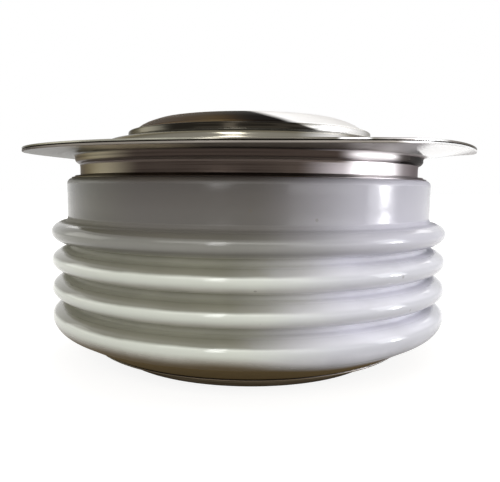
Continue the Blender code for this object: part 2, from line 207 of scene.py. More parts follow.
glazeValues = {
    "crest": (0.77, 0.795, 0.71),       # the glaze's own white, on the crests
    "paintedFlank": (0.255, 0.25, 0.195),      # painted shade on the ribs' upper flanks
    "under": (0.82, 0.81, 0.74),        # below the ribs: own white, no painted shade
    "hollowShade": (0.46, 0.455, 0.375),     # painted shade in the grooves
    "rightLitAndBack": (0.83, 0.825, 0.89),       # painted light at the right, plain tone at the back
    # painted shade at the far right; the crests' tone at the right and at the back
    "farRightShade": (0.58, 0.58, 0.63), "crestRightAndBack": (0.65, 0.65, 0.7),
    # the band: a painted shadow of the flange, lighter low down and at the left
    "band": (0.1, 0.088, 0.078), "bandLow": (0.13, 0.12, 0.107), "bandLeft": (0.12, 0.112, 0.082),
    # painted light at the right, plain at the back, painted shade at the far right
    "bandRightAndBack": (0.55, 0.54, 0.61), "bandEnd": (0.36, 0.36, 0.4),
    "smudge": (0.1, 0.09, 0.075), "speck": (0.12, 0.1, 0.07),
    "footShade": (0.15, 0.1, 0.035),        # olive brown painted shade on the foot
    # where each tone comes in, from a first value to a second: heights, radii and the way up or down from
    # the nearest crest in millimetres, and the way that the surface faces
    "steps": {
        "rightLit": (-0.05, 0.5), "backPlain": (0.2, -0.5, 0.0, 0.85), "farRightShade": (0.78, 0.95),
        "crestAbove": (0.64, 0.3), "crestBelow": (-0.95, -0.2), "crestOut": (23.4, 24.2),
        "under": (0.4, -0.5), "hollowShade": (23.9, 22.9), "topRib": (14.4, 15.2), "shoulder": (14.35, 15.1),
        "band": (16.7, 17.4), "bandLow": (20.4, 17.6), "bandLeft": (-0.45, -0.8), "bandBack": (0.2, -0.5),
        "bandRight": (0.0, 0.66), "bandEnd": (0.86, 0.96), "bandEdge": (21.4, 21.8),
        "footShade": (0.9, -0.7), "speck": (0.06, 0.03),
        "cornerFoot": (16.9, 17.1), "cornerTop": (17.8, 17.5),
        "groove": (24.1, 23.3), "grooveTop": (16.9, 16.6),
    },
    "wideScale": 160.0, "fineScale": 900.0, "speckScale": 260.0, "peelScale": 620.0, "peelDepth": 0.1,
    # the top rib's crest dimmed and its shoulder darkened as a painted shadow of the flange
    "crestOnTopRib": -0.5, "shoulderShadow": 0.75, "specksShow": 0.35,
    "footShadeTop": 4.76, "footShadeSinks": 1.3, "footShadeMetal": 0.5,    # its top edge sinks at the right and back
    # the roughness, and what fine patches, the foot's painted shade, top rib, band edge and dust add to it
    "roughness": 0.07, "fineDull": 0.05, "footShadeDull": 0.4, "topRibDull": 0.06, "edgeDull": 0.3,
    "dustDull": 0.5,
}


def makeGlaze():
    v = glazeValues
    made, tree, shader, place = startMaterial("glazedAlumina", v["roughness"])
    turned = useGroup(tree, turnedPlace, {"Place": place})
    radius, height, right, front = (turned[key] for key in ("Radius", "Height", "Right", "Front"))
    wide = patches(tree, place, v["wideScale"], 0.3, 0.7)
    fine = patches(tree, place, v["fineScale"], 0.35, 0.7)

    def step(key, measure):
        return ramp(tree, measure, *v["steps"][key])

    def layTones(color, *tones):
        for tone, key, measure in tones:
            color = mixColor(tree, step(key, measure), color, v[tone])
        return color

    # painted light on the right side, and the back left free of the painted shade, with an uneven edge
    rightLitAndBack = step("rightLit", scaled(tree, wide, 0.1, right))
    rightLitAndBack = calc(tree, "MAXIMUM", rightLitAndBack, step("backPlain", scaled(tree, wide, 0.2, front)))
    # how far up or down from the nearest crest, in millimetres, a little uneven
    phase = calc(tree, "DIVIDE", calc(tree, "SUBTRACT", height, firstRib - ribPitch / 2), ribPitch)
    offCrest = calc(tree, "MULTIPLY", calc(tree, "SUBTRACT", calc(tree, "FRACT", phase), 0.5), ribPitch)
    offCrest = calc(tree, "ADD", offCrest, scaled(tree, wide, 0.08, -0.04))
    topRib = step("topRib", height)
    # the glaze's white on the crests, dimmed on the top rib as a painted shadow of the flange
    crest = product(
        tree, step("crestAbove", offCrest), step("crestBelow", offCrest), step("crestOut", radius),
        scaled(tree, topRib, v["crestOnTopRib"], 1.0),
    )
    # painted shade on the ribs' upper flanks and in the hollows
    paintedFlank = layTones(v["paintedFlank"], ("under", "under", offCrest), ("hollowShade", "hollowShade", radius))
    # painted light at the right, plain at the back
    paintedFlank = mixColor(tree, rightLitAndBack, paintedFlank, v["rightLitAndBack"])
    # painted shade at the far right
    paintedFlank = layTones(paintedFlank, ("farRightShade", "farRightShade", right))
    # the band: the flange's painted shadow, lighter low down, painted light at the right
    band = layTones(
        v["band"], ("bandLow", "bandLow", height), ("bandLeft", "bandLeft", right),
        ("bandRightAndBack", "bandBack", front), ("bandRightAndBack", "bandRight", right), ("bandEnd", "bandEnd", right),
    )
    low = mixColor(tree, step("band", height), paintedFlank, band)
    low = mixColor(tree, product(tree, wide, scaled(tree, front, 0.08, 0.1)), low, v["smudge"])
    color = mixColor(tree, crest, low, mixColor(tree, rightLitAndBack, v["crest"], v["crestRightAndBack"]))
    # a painted shadow of the flange over the top rib's shoulder
    color = mixColor(tree, product(tree, step("shoulder", height), v["shoulderShadow"]), color, band)
    # painted shade on the foot, its top edge uneven
    edge = scaled(tree, rightLitAndBack, -v["footShadeSinks"], scaled(tree, wide, 0.16, v["footShadeTop"]))
    footShaded = step("footShade", calc(tree, "SUBTRACT", height, edge))
    color = mixColor(tree, footShaded, color, v["footShade"])
    specks = {"Vector": place, "Scale": v["speckScale"]}
    specks = addNode(tree, "ShaderNodeTexVoronoi", {"feature": "F1"}, specks).outputs["Distance"]
    color = mixColor(tree, product(tree, step("speck", specks), v["specksShow"]), color, v["speck"])

    # dust lies in the corner under the band and in the grooves
    corner = product(tree, step("cornerFoot", height), step("cornerTop", height))
    groove = product(tree, step("groove", radius), step("grooveTop", height))
    dull = v["roughness"]
    for amount, mask in (
        ("fineDull", fine), ("footShadeDull", footShaded), ("topRibDull", topRib),
        ("edgeDull", step("bandEdge", height)), ("dustDull", calc(tree, "MAXIMUM", corner, groove)),
    ):
        dull = scaled(tree, mask, v[amount], dull)
    # the foot's painted shade is also partly metallic
    metal = product(tree, footShaded, v["footShadeMetal"])
    feed(tree, shader, {"Base Color": color, "Roughness": dull, "Metallic": metal})
    bump(tree, shader, grain(tree, place, v["peelScale"]), 0.1, v["peelDepth"])
    return made


# what a metal has unless its own values say otherwise: "sheen" and "edge" are the level and tint of what it
# mirrors at a slant, "patch" is the scale of its two tones, "round" and "across" those of its lathe marks,
# "spread" is what the marks do to the roughness and "depth" how strongly they show as bumps
plainMetal = {
    "metallic": 1.0, "sheen": 0.5, "patch": 140.0, "round": 1.2, "across": 5.0, "spread": 0.16, "depth": 0.15,
    "washes": (),
}


def within(tree, measures, where):
    # the product of smooth steps, each along one measure of the turned place
    return product(tree, *(ramp(tree, measures[key], low, high) for key, low, high in where))


def makeMetal(name):
    # plate in patches of two tones with lathe marks, then washes of other tones where they lie:
    # most washes are painted reflections, highlights and shade
    v = {**plainMetal, **metalValues[name]}
    made, tree, shader, place = startMaterial(name, v["roughness"], v["metallic"])
    turned = useGroup(tree, turnedPlace, {"Place": place})
    marks = {"Streak": turned["Streak"], "Round": v["round"], "Across": v["across"]}
    marks = useGroup(tree, latheMarks, marks)["Marks"]
    wide = patches(tree, place, v["patch"], 0.3, 0.7)
    color = mixColor(tree, wide, v["dark"], v["light"])
    color = mixColor(tree, ramp(tree, marks, 0.35, 0.7), color, v["streak"])
    measures = {key: turned[key] for key in ("Right", "Front", "Radius", "Height", "Aside")}
    if "lean" in v:
        # a sideways distance that leans over: millimetres for each one down, and the height it starts from
        slope, start = v["lean"]
        down = calc(tree, "MULTIPLY", calc(tree, "SUBTRACT", start, turned["Height"]), slope)
        measures["Slant"] = scaled(tree, wide, 0.4, calc(tree, "SUBTRACT", turned["Aside"], down))
    metal, coat = v["metallic"], 0.0
    for wash in v["washes"]:
        mask = calc(tree, "MULTIPLY", within(tree, measures, wash["where"]), wash.get("amount", 1.0))
        color = mixColor(tree, mask, color, wash["color"])
        if "metallic" in wash:
            mix = {0: mask, 2: metal, 3: wash["metallic"]}
            metal = addNode(tree, "ShaderNodeMix", {"data_type": "FLOAT"}, mix).outputs[0]
        if "coat" in wash:
            coat = calc(tree, "MAXIMUM", coat, calc(tree, "MULTIPLY", mask, wash["coat"]))
    feed(tree, shader, {
        "Base Color": color, "Metallic": metal, "Coat Weight": coat,
        "Roughness": scaled(tree, marks, v["spread"], v["roughness"] - v["spread"] / 2),
        "Specular Tint": (*v["edge"], 1.0), "Specular IOR Level": v["sheen"],
    })
    bump(tree, shader, marks, v["depth"], 0.05)
    return made


# steps that several washes share
rimFace = ("Radius", 27.2, 27.6)
domeShoulder = ("Radius", 11.4, 11.9)
underFlange, pastBead = ("Height", 24.8, 24.95), ("Radius", 22.1, 22.5)
beadFoot, beadTop = ("Height", 23.85, 24.1), ("Height", 24.95, 24.8)

# each wash: a tone, how strongly it covers, the metallic or clear coat that comes with it, and where it lies,
# by steps from 0 to 1 between two values of a measure
metalValues = {
    "lidNickel": {
        "dark": (0.28, 0.268, 0.235), "light": (0.38, 0.365, 0.325), "streak": (0.43, 0.415, 0.375),
        "edge": (0.2, 0.19, 0.16), "roughness": 0.18, "spread": 0.1, "metallic": 0.85, "lean": (3.17, 28.99),
        "washes": [
            # the step's wall: painted dark reflection at the front and left
            {"color": (0.19, 0.178, 0.145), "where": [("Radius", 21.2, 20.2), ("Front", -0.6, 0.3)]},
            # a painted bright reflection at the right
            {"color": (0.92, 0.91, 0.9),
             "where": [("Aside", 4.4, 9.6), ("Radius", 21.4, 20.2), ("Front", -0.6, 0.3)]},
            # a painted shadow on the wall, below the lip's right end
            {"color": (0.13, 0.118, 0.1),
             "where": [("Height", 26.3, 26.6), ("Height", 27.32, 27.2), ("Aside", 8.4, 11.5),
                       ("Aside", 17.4, 15.8), ("Front", 0.2, 0.5)]},
            # the rim's edge: painted dark reflection at the front, lighter painted reflections at the sides
            {"color": (0.15, 0.14, 0.115), "where": [("Radius", 27.4, 27.8), ("Front", -0.3, 0.3)]},
            {"color": (0.3, 0.29, 0.24), "where": [("Radius", 27.6, 27.9), ("Right", -0.05, -0.3)]},
            {"color": (0.32, 0.3, 0.29), "where": [("Aside", 10.5, 13.0), ("Radius", 27.0, 27.6)]},
            # two painted glints at the right
            {"color": (1.0, 1.0, 1.0),
             "where": [("Aside", 7.4, 8.2), ("Aside", 11.0, 10.2), rimFace, ("Front", 0, 0.3)]},
            {"color": (1.0, 1.0, 1.0), "where": [("Aside", 15.0, 16.0), ("Aside", 20.0, 18.5), rimFace]},
            # painted shade along the foot of the lip
            {"color": (0.008, 0.006, 0.004), "amount": 0.96,
             "where": [("Height", 27.34, 27.5), ("Aside", -12.8, -8.0), ("Slant", 3.0, 2.2),
                       ("Radius", 16.6, 16.1), ("Front", 0.0, 0.3)]},
        ],
    },
    "domeNickel": {
        "dark": (0.36, 0.34, 0.3), "light": (0.48, 0.46, 0.41), "streak": (0.52, 0.5, 0.45),
        "edge": (0.05, 0.04, 0.03), "sheen": 0.2, "lean": (3.17, 28.99), "roughness": 0.4,
        "across": 3.0, "round": 1.6, "metallic": 0.85,
        "washes": [
            # brown all round the shoulder, then painted dark reflection at the front, brown at the left
            {"color": (0.3, 0.27, 0.22), "where": [("Radius", 11.2, 12.0)]},
            {"color": (0.062, 0.045, 0.024), "where": [domeShoulder, ("Front", -0.5, 0.1)]},
            {"color": (0.13, 0.095, 0.06),
             "where": [domeShoulder, ("Right", -0.1, -0.75), ("Front", -0.3, 0.1)]},
            # nearly black painted reflection right of the middle, then a painted bright reflection
            {"color": (0.006, 0.004, 0.003), "amount": 0.95,
             "where": [("Aside", -4.6, 1.0), ("Radius", 11.6, 12.2), ("Front", 0.0, 0.5)]},
            {"color": (1.0, 0.99, 0.98), "where": [("Slant", 1.7, 3.7), domeShoulder, ("Front", -0.4, 0.5)]},
        ],
    },
    "neckNickel": {
        # its near-black tones are a painted dark reflection
        "dark": (0.033, 0.024, 0.02), "light": (0.052, 0.04, 0.033), "streak": (0.065, 0.05, 0.042),
        "edge": (0.1, 0.08, 0.07), "sheen": 0.3, "roughness": 0.34, "metallic": 0.85,
        "washes": [
            # the neck: painted reflection, lighter at the left
            {"color": (0.34, 0.305, 0.22), "where": [("Right", -0.5, -0.78)]},
            # a plain lighter tone at the back
            {"color": (0.32, 0.3, 0.28), "where": [("Front", 0.0, -0.5)]},
            # painted reflection lighter toward the right, and a painted highlight
            {"color": (0.34, 0.31, 0.32), "where": [("Aside", 4.5, 10.0)]},
            {"color": (0.92, 0.88, 0.9), "where": [("Aside", 9.0, 12.0), ("Aside", 17.2, 14.6)]},
            # the flange's underside, from the front round to both ends: painted reflections
            {"color": (0.17, 0.145, 0.125), "metallic": 0.2, "where": [underFlange, pastBead]},
            # light olive left of the front, darker toward the left end
            {"color": (0.66, 0.56, 0.4), "metallic": 0.1,
             "where": [underFlange, pastBead, ("Right", -0.14, -0.38)]},
            {"color": (0.13, 0.12, 0.085), "metallic": 0.2, "where": [underFlange, ("Right", -0.52, -0.74)]},
            # painted bright reflection toward the right, and a painted highlight with a clear coat at its end
            {"color": (1.0, 0.98, 0.97), "metallic": 0.3,
             "where": [underFlange, pastBead, ("Aside", 11.5, 15.0)]},
            {"color": (1.0, 1.0, 1.0), "metallic": 0.0, "coat": 1.0,
             "where": [underFlange, ("Radius", 22.3, 22.8), ("Aside", 16.0, 18.6), ("Aside", 26.0, 23.0)]},
            # painted dark reflection on the bead's end at the right
            {"color": (0.1, 0.092, 0.09), "where": [beadFoot, beadTop, ("Aside", 14.6, 16.8)]},
            # painted dark reflection on the bead's front, further round than on the neck
            {"color": (0.05, 0.037, 0.031),
             "where": [beadFoot, beadTop, ("Aside", 10.6, 8.4), ("Right", -0.5, -0.3), ("Front", 0.0, 0.3)]},
            # painted light on the bead's matt underside
            {"color": (0.2, 0.16, 0.14), "metallic": 0.1,
             "where": [("Height", 23.7, 23.85), ("Height", 24.25, 24.1), ("Aside", 10.6, 8.4)]},
            # the rim: a lighter painted reflection, short of its right end
            {"color": (0.22, 0.2, 0.175), "metallic": 0.8,
             "where": [("Radius", 27.7, 27.95), ("Aside", 15.0, 13.0)]},
        ],
    },
    "footNickel": {
        # its dark brown tones are a painted dark reflection
        "dark": (0.08, 0.06, 0.034), "light": (0.14, 0.108, 0.07), "streak": (0.17, 0.135, 0.09),
        "edge": (0.1, 0.08, 0.06), "roughness": 0.4, "sheen": 0.3,
    },
    "tinnedBrass": {
        "dark": (0.46, 0.44, 0.39), "light": (0.6, 0.58, 0.52), "streak": (0.57, 0.55, 0.5),
        "edge": (0.7, 0.68, 0.64), "roughness": 0.32, "patch": 420.0, "across": 0.9, "round": 3.0,
        "depth": 0.06, "spread": 0.08,
    },
    "feedNickel": {
        "dark": (0.3, 0.27, 0.22), "light": (0.48, 0.45, 0.39), "streak": (0.55, 0.52, 0.46),
        "edge": (0.5, 0.47, 0.42), "roughness": 0.28, "patch": 320.0,
    },
    "silverFoil": {
        "dark": (0.6, 0.58, 0.54), "light": (0.82, 0.8, 0.77), "streak": (0.86, 0.85, 0.82),
        "edge": (0.9, 0.89, 0.87), "roughness": 0.3, "patch": 260.0,
    },
    "molybdenumDisc": {
        "dark": (0.28, 0.28, 0.29), "light": (0.4, 0.4, 0.42), "streak": (0.46, 0.46, 0.48),
        "edge": (0.5, 0.5, 0.52), "roughness": 0.42, "across": 9.0,
    },
    "springSteel": {
        "dark": (0.35, 0.35, 0.36), "light": (0.5, 0.5, 0.51), "streak": (0.55, 0.55, 0.56),
        "edge": (0.6, 0.6, 0.6), "roughness": 0.28,
    },
}

# what is sealed inside and isn't metal has plain finishes
innerValues = {
    "siliconWafer": {
        "color": (0.1, 0.11, 0.14), "worn": (0.16, 0.16, 0.19),
        "roughness": 0.12, "metallic": 0.6, "scale": 300.0,
    },
    "siliconeRubber": {
        "color": (0.5, 0.5, 0.47), "worn": (0.42, 0.41, 0.38),
        "roughness": 0.62, "metallic": 0.0, "scale": 500.0,
    },
    "whitePlastic": {
        "color": (0.72, 0.71, 0.67), "worn": (0.6, 0.58, 0.52),
        "roughness": 0.48, "metallic": 0.0, "scale": 400.0,
    },
}


def makeInner(name):
    v = innerValues[name]
    made, tree, shader, place = startMaterial(name, v["roughness"], v["metallic"])
    wide = patches(tree, place, v["scale"], 0.35, 0.75)
    feed(tree, shader, {
        "Base Color": mixColor(tree, wide, v["color"], v["worn"]),
        "Roughness": scaled(tree, wide, 0.1, v["roughness"]),
    })
    bump(tree, shader, grain(tree, place, 2500.0), 0.1, 0.04)
    return made


glaze = makeGlaze()
metals = {name: makeMetal(name) for name in metalValues}
inner = {name: makeInner(name) for name in innerValues}
print("materials ready:", len(bpy.data.materials))


def bowAt(radius, height, size, start, end, steps):
    # a round bow of a section, with its centre at this radius and height
    return (radius, height), (size, size), start, end, steps


def drawSection(shape, path):
    # path holds points (radius, height) and bows (centre, reach, start, end, steps)
    line = []
    for step in path:
        if len(step) == 2:
            line.append(shape.verts.new((step[0] * mm, 0, step[1] * mm)))
            continue
        middle, reach, start, end, count = step
        centre = Vector((middle[0] * mm, 0, middle[1] * mm))
        first = shape.verts.new(centre + Vector((cos(radians(start)), 0, sin(radians(start)))) * mm)
        known = len(shape.verts)
        bmesh.ops.spin(
            shape, geom=[first], cent=centre, axis=(0, -1, 0), angle=radians(end - start), steps=count
        )
        shape.verts.ensure_lookup_table()
        bow = [first] + shape.verts[known:]
        bmesh.ops.scale(shape, vec=(reach[0], 1, reach[1]), space=Matrix.Translation(-centre), verts=bow)
        line += bow
    return line


def spinSection(path, steps=turnSteps):
    # turns a closed section once round the Z axis
    shape = bmesh.new()
    line = drawSection(shape, path)
    joins = list(zip(line, line[1:]))
    if path[0][0] != 0 or path[-1][0] != 0:
        joins.append((line[-1], line[0]))
    for pair in joins:
        if not shape.edges.get(pair):
            shape.edges.new(pair)
    bmesh.ops.spin(
        shape, geom=shape.verts[:] + shape.edges[:], cent=(0, 0, 0), axis=(0, 0, 1), angle=2 * pi,
        steps=steps, use_merge=True,
    )
    bmesh.ops.remove_doubles(shape, verts=shape.verts, dist=weldGap * mm)
    loose = [edge for edge in shape.edges if not edge.link_faces]
    bmesh.ops.delete(shape, geom=loose, context="EDGES")
    bmesh.ops.recalc_face_normals(shape, faces=shape.faces)
    return shape


def meshObject(name, shape):
    mesh = bpy.data.meshes.new(name)
    shape.to_mesh(mesh)
    shape.free()
    made = bpy.data.objects.new(name, mesh)
    bpy.context.scene.collection.objects.link(made)
    return made


def shadeRound(mesh, angle):
    mesh.shade_smooth()
    mesh.set_sharp_from_angle(angle=radians(angle))


def newPiece(name, shape, finish, standsFor=(), smooth=smoothAngle):
    piece = meshObject(name, shape)
    shadeRound(piece.data, smooth)
    piece.data.materials.append(finish)
    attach(piece, "root")
    if standsFor:
        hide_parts(*standsFor)
    return piece


def cutAway(piece, shapes):
    # takes each shape out of the piece, and keeps the result as the piece's mesh
    for shape in shapes:
        tool = meshObject("cut", shape)
        cut = piece.modifiers.new("cut", "BOOLEAN")
        cut.operation = "DIFFERENCE"
        cut.solver = "EXACT"
        cut.object = tool
        bpy.context.view_layer.update()
        result = bpy.data.meshes.new_from_object(piece.evaluated_get(bpy.context.evaluated_depsgraph_get()))
        piece.modifiers.clear()
        piece.data = result
        bpy.data.objects.remove(tool)
    shadeRound(piece.data, smoothAngle)


def rodShape(radius, start, end, steps=48):
    shape = bmesh.new()
    start, end = Vector(start) * mm, Vector(end) * mm
    run = end - start
    place = Matrix.Translation((start + end) / 2) @ run.to_track_quat("Z", "Y").to_matrix().to_4x4()
    bmesh.ops.create_cone(
        shape, cap_ends=True, segments=steps, radius1=radius * mm, radius2=radius * mm, depth=run.length,
        matrix=place,
    )
    return shape


def blockShape(low, high):
    shape = bmesh.new()
    low, high = Vector(low) * mm, Vector(high) * mm
    size = Matrix.Diagonal((*(high - low), 1.0))
    bmesh.ops.create_cube(shape, size=1.0, matrix=Matrix.Translation((low + high) / 2) @ size)
    return shape


def layAlongY(shape, height):
    turn = Matrix.Translation((0, 0, height * mm)) @ Matrix.Rotation(-pi / 2, 4, "X")
    bmesh.ops.transform(shape, matrix=turn, verts=shape.verts)
    return shape


ceramicValues = {
    "bottom": 1.85, "top": 22.25, "bore": 18.6, "boreEdge": 0.4, "band": 23.0, "bandCorner": 0.65,
    "ribs": 24.9, "root": 22.88, "halfRib": 1.33, "count": 4, "grooveDepth": 0.28,
    "footRadius": 20.1, "footEdge": 0.2, "footCentre": 21.8, "footHalf": 2.4,
    "topRibEnd": 75, "shelfRound": 0.4,      # degrees up the top rib to its shelf, and the round past it
    "gateHole": 1.2, "gateHeight": 19.8,
}


def buildCeramic():
    v = ceramicValues
    crests = [firstRib + ribPitch * i for i in range(v["count"])]
    reach = (v["ribs"] - v["root"], v["halfRib"])
    edge, foot = v["boreEdge"], v["footEdge"]
    path = [
        (v["bore"] + edge, v["bottom"]),
        bowAt(v["footRadius"] - foot, v["bottom"] + foot, foot, -90, -38, 4),
        ((v["footCentre"], crests[0]), (v["ribs"] - v["footCentre"], v["footHalf"]), -52, 0, 20),
        ((v["root"], crests[0]), reach, 5, 90, 16),
    ]
    groove = (v["grooveDepth"], ribPitch / 2 - v["halfRib"])
    for crest in crests[1:]:
        path.append(((v["root"], crest - ribPitch / 2), groove, -90, -270, 8))
        path.append(((v["root"], crest), reach, -90, v["topRibEnd"] if crest == crests[-1] else 90, 28))
    rim = v["root"] + reach[0] * cos(radians(v["topRibEnd"]))
    shelf = crests[-1] + reach[1] * sin(radians(v["topRibEnd"]))
    rise, corner = v["shelfRound"], v["bandCorner"]
    path += [
        ((rim, shelf + rise), (rim - v["band"], rise), -90, -180, 6),
        (v["band"], 19.0), (v["band"], 20.5),
        bowAt(v["band"] - corner, v["top"] - corner, corner, 0, 90, 8),
        bowAt(v["bore"] + edge, v["top"] - edge, edge, 90, 180, 4),
        bowAt(v["bore"] + edge, v["bottom"] + edge, edge, 180, 270, 4),
    ]
    piece = newPiece("ceramicRing", spinSection(path), glaze, ("ceramic_housing",))
    start, end = ((0, at, v["gateHeight"]) for at in (v["bore"] - overcut, v["band"] + overcut))
    cutAway(piece, [rodShape(v["gateHole"], start, end)])


flangeValues = {
    "rim": 28.0, "low": 25.05, "sheet": 0.2, "gap": 0.1, "rimEdge": 0.09,
    "neck": 21.45, "neckFillet": 0.16, "bead": 22.05, "beadMiddle": 24.53, "beadSize": (0.8, 0.6),
    "foot": 22.35, "footRadius": 22.15, "footEdge": 0.06,
    "lip": 15.6, "lipTop": 28.2, "lipWall": 0.5, "stepTop": 27.4, "groove": 25.4, "grooveHalf": 0.55,
    # how handling has bent the rim: (degrees from the front toward +X, rise in mm, width in degrees)
    "bends": [(-98, 0.3, 30), (-15, -0.12, 40), (46, 0.5, 26), (106, 0.95, 28)],
    "bendStart": 21.2,       # the bead bends a little with the flange
}


def bendRim(shape):
    v = flangeValues
    for vert in shape.verts:
        flat = Vector((vert.co.x, vert.co.y))
        out = (flat.length / mm - v["bendStart"]) / (v["rim"] - v["bendStart"])
        if out <= 0:
            continue
        facing = atan2(vert.co.x, -vert.co.y)
        rise = 0.0
        for middle, height, width in v["bends"]:
            away = (facing - radians(middle) + pi) % (2 * pi) - pi
            rise += height * exp(-((away / radians(width)) ** 2))
        vert.co.z += rise * mm * out * out * (3 - 2 * out)


def buildWeldRing():
    # from the foot on the ceramic, up the neck, round the bead and along the flange, and back inside
    v = flangeValues
    high = v["low"] + v["sheet"]
    inner = v["neck"] - 0.45
    foot, fillet, edge = v["footEdge"], v["neckFillet"], v["rimEdge"]
    path = [
        (inner, v["foot"]),
        bowAt(v["footRadius"] - foot, v["foot"] + foot, foot, -90, 0, 4),
        (v["footRadius"] - 0.1, v["foot"] + v["sheet"]), (v["neck"] + 0.3, v["foot"] + v["sheet"]),
        bowAt(v["neck"] + fillet, v["foot"] + v["sheet"] + fillet, fillet, -90, -180, 8),
        (v["neck"], 23.5),
        ((v["bead"] - v["beadSize"][0], v["beadMiddle"]), v["beadSize"], -72, 0, 14),
        ((v["bead"] + 0.42, v["low"] - 0.4), (0.42, 0.4), 180, 90, 8),
        (24.0, v["low"]), (26.0, v["low"]), (27.3, v["low"]),
        bowAt(v["rim"] - edge, v["low"] + edge, edge, -90, 0, 5),
        (v["rim"], high), (27.0, high), (25.0, high), (inner + 0.9, high),
        ((v["bead"] - 1.15, v["beadMiddle"]), (0.5, 0.4), 60, -60, 8),
        (inner, 23.85),
    ]
    shape = spinSection(path)
    bendRim(shape)
    newPiece("weldRing", shape, metals["neckNickel"], ("weld_ring",))


def buildLid():
    # from the rim inward over the pressed groove and up the step to the lip, and back underneath
    v = flangeValues
    low = v["low"] + v["sheet"] + v["gap"]
    high = low + v["sheet"]
    top, wall, edge = v["stepTop"], v["lipWall"], v["rimEdge"]
    path = [
        (v["rim"], low + 0.05),
        bowAt(v["rim"] - edge, high - edge, edge, 0, 90, 5),
        (26.6, high), (v["groove"] + v["grooveHalf"], high),
        ((v["groove"], high + 0.03), (0.5, 0.09), -20, -160, 10),
        (v["groove"] - v["grooveHalf"], high), (22.5, high), (20.4, high),
        bowAt(20.1, high + 0.9, 0.9, -90, -140, 8),
        (18.75, top - 1.2),
        ((17.3, top - 1.5), (1.35, 1.16), 25, 82, 12),
        (16.6, top - 0.2), (16.1, top - 0.06),
        ((v["lip"] + 0.28, top + 0.2), (0.26, 0.24), -70, -170, 6),
        (v["lip"], top + 0.4),
        ((v["lip"] - wall / 2, v["lipTop"] - 0.27), (wall / 2, 0.27), 0, 180, 14),
        (v["lip"] - wall, top - 0.15), (16.1, top - 0.3), (17.25, top - 0.6), (18.1, top - 1.05),
        (19.1, high), (19.8, low), (24.0, low), (v["rim"] - 0.05, low),
    ]
    shape = spinSection(path)
    bendRim(shape)
    newPiece("lidSheet", shape, metals["lidNickel"], ("lid_flange",))


poleValues = {
    "height": 29.8, "flat": 11.4, "neck": 14.9, "body": 15.4, "bodyEdge": 0.4, "shoulder": 25.0,
    # the dome's shoulder, from its neck to its flat: radius, and how far below the top
    "dome": [
        (14.45, 1.24), (13.95, 0.88), (13.45, 0.62), (12.93, 0.41), (12.4, 0.22), (11.95, 0.08), (11.6, 0.02),
    ],
    "bore": 3.0, "boreTop": 24.6, "slotHalf": 1.25,
    "holeRadius": 1.75, "holeDepth": 2.1, "holeEdge": 0.12, "holeCone": 0.5,
    "contact": 17.0, "anodeBody": 16.4, "anodeTop": 11.0, "anodeShoulder": 1.45, "anodeEdge": 0.35,
    "ringBore": 16.5, "ringEdge": 0.1,
}


def contactFace(height, toward, flat):
    # from the flat's edge to the axis, with the centring hole and its cone; toward is 1 for an upper face
    v = poleValues
    deep = height - toward * v["holeDepth"]
    return [
        (flat, height), (flat * 0.6, height), (v["holeRadius"] + v["holeEdge"], height),
        (v["holeRadius"], height - toward * v["holeEdge"]), (v["holeRadius"], deep),
        (0.0, deep - toward * v["holeCone"]),
    ]


def buildCathodePole():
    v = poleValues
    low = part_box("cathode_pole_piece")[0].z / mm
    top, edge = v["height"], v["bodyEdge"]
    path = [
        (0.0, low), (8.0, low), bowAt(v["body"] - edge, low + edge, edge, -90, 0, 5),
        (v["body"], v["shoulder"] - 0.6), (v["neck"], v["shoulder"]), (v["neck"], top - 1.75),
        ((14.5, top - 1.7), (0.4, 0.42), 0, 45, 5),
    ]
    path += [(radius, top - down) for radius, down in v["dome"]]
    path += contactFace(top, 1, v["flat"])
    piece = newPiece(
        "cathodePole", spinSection(path), metals["domeNickel"], ("cathode_pole_piece",)
    )
    side, below = v["slotHalf"], low - 1
    cutAway(piece, [
        rodShape(v["bore"], (0, 0, below), (0, 0, v["boreTop"])),
        blockShape((-side, 0.5, below), (side, v["body"] + overcut, ceramicValues["gateHeight"] + side)),
    ])


def buildAnodePole():
    v = poleValues
    edge, shoulder, top = v["anodeEdge"], v["anodeShoulder"], v["anodeTop"]
    path = contactFace(0.0, -1, v["contact"] - edge)[::-1]
    path += [
        bowAt(v["contact"] - edge, edge, edge, -90, 0, 8),
        (v["contact"], shoulder - 0.1), (v["contact"] - 0.1, shoulder),
        (v["anodeBody"], shoulder), (v["anodeBody"], top - edge),
        bowAt(v["anodeBody"] - edge, top - edge, edge, 0, 90, 5),
        (8.0, top), (0.0, top),
    ]
    newPiece("anodePole", spinSection(path), metals["footNickel"], ("anode_pole_piece",))
    low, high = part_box("anode_flange")
    outer, bottom, top = high.x / mm, low.z / mm, high.z / mm
    bore, edge = v["ringBore"], v["ringEdge"]
    ring = [
        (bore, bottom), bowAt(outer - edge, bottom + edge, edge, -90, 0, 5),
        bowAt(outer - edge, top - edge, edge, 0, 90, 5), (bore, top),
    ]
    newPiece("anodeRing", spinSection(ring), metals["footNickel"], ("anode_flange",))


# the thin fillets of braze that run round the joints of metal and ceramic: (radius, height) and half sizes
brazeValues = {"topBraze": ((22.28, 22.3), (0.2, 0.09)), "footBraze": ((19.95, 1.8), (0.14, 0.06))}


def buildBrazes():
    for name, (centre, half) in brazeValues.items():
        ring = spinSection([(centre, half, 0, 345, 23)])
        newPiece(name, ring, metals["neckNickel"], smooth=60)


